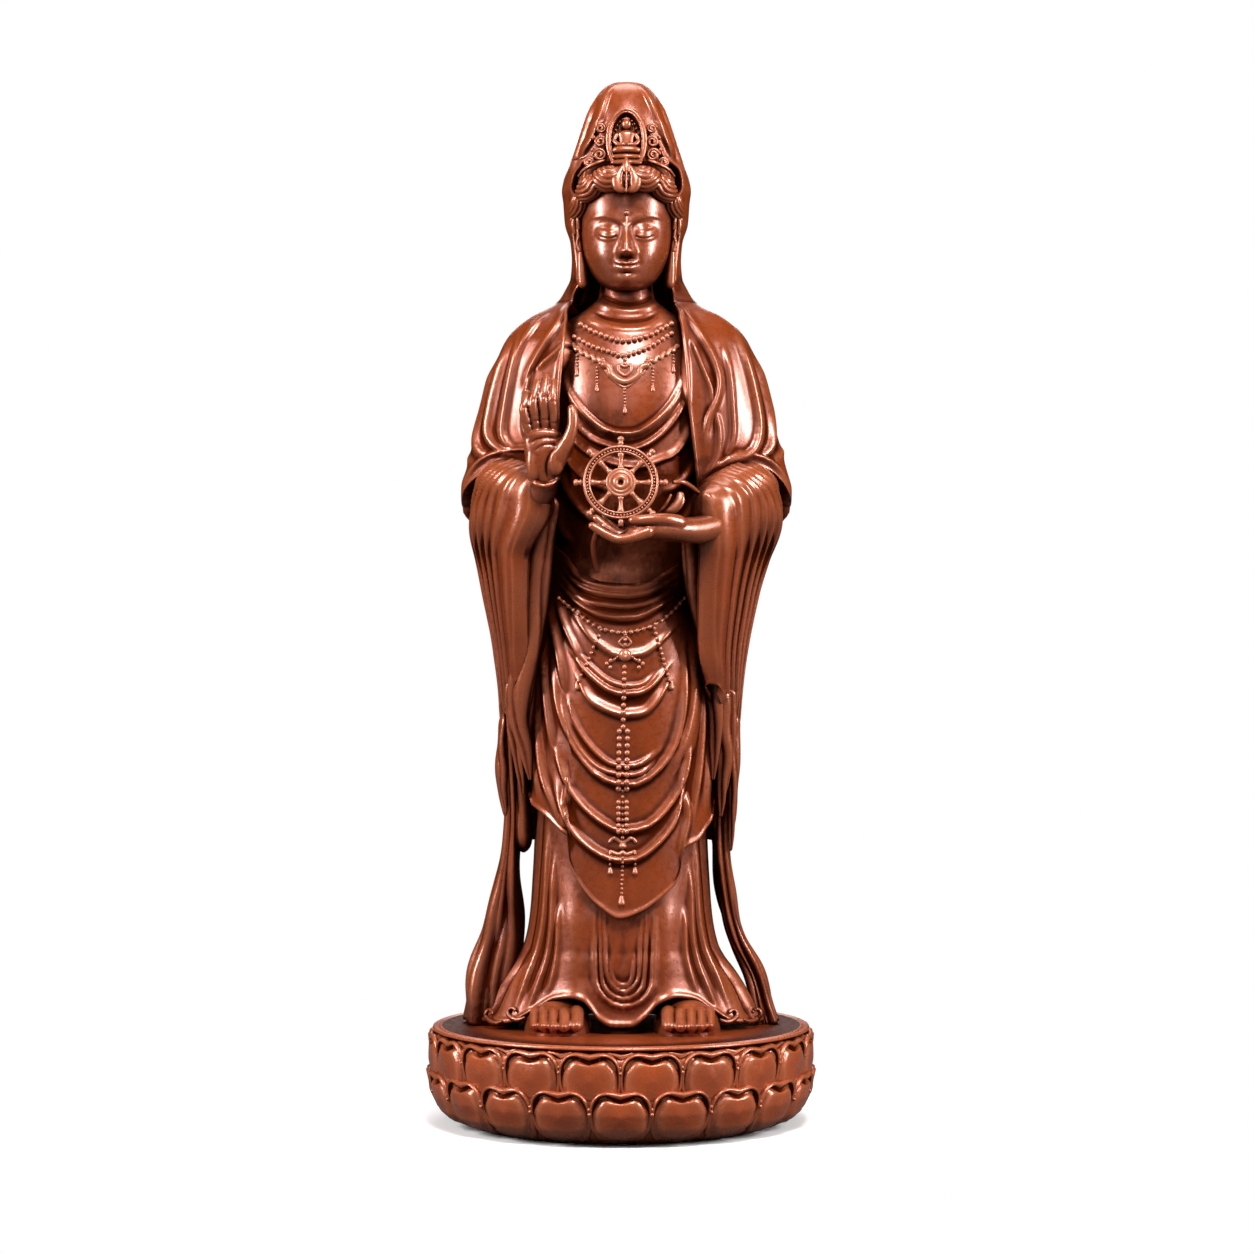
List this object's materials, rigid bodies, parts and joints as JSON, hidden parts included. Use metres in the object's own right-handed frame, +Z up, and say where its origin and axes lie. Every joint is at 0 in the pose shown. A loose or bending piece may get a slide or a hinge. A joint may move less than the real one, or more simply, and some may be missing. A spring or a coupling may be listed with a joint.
{
  "type": "standing robed figurine",
  "caption": "Standing veiled figure in draped robes on a round lotus plinth, one hand raised, the other holding an upright spoked wheel, red-brown lacquered metal.",
  "frame": {"origin": "middle of the plinth's flat underside", "axes": "+Z up along the figure's height, the figure faces -Y, +X towards its left hand"},
  "size_m": [0.1828, 0.1828, 0.48],
  "materials": {
    "lacquered_bronze": "satin red-brown patina under a clear glossy lacquer, darker in the hollows"
  },
  "bodies": {
    "root": {"lotus_plinth": "lacquered_bronze", "figure": "lacquered_bronze", "wheel": "lacquered_bronze"}
  },
  "joints": []
}
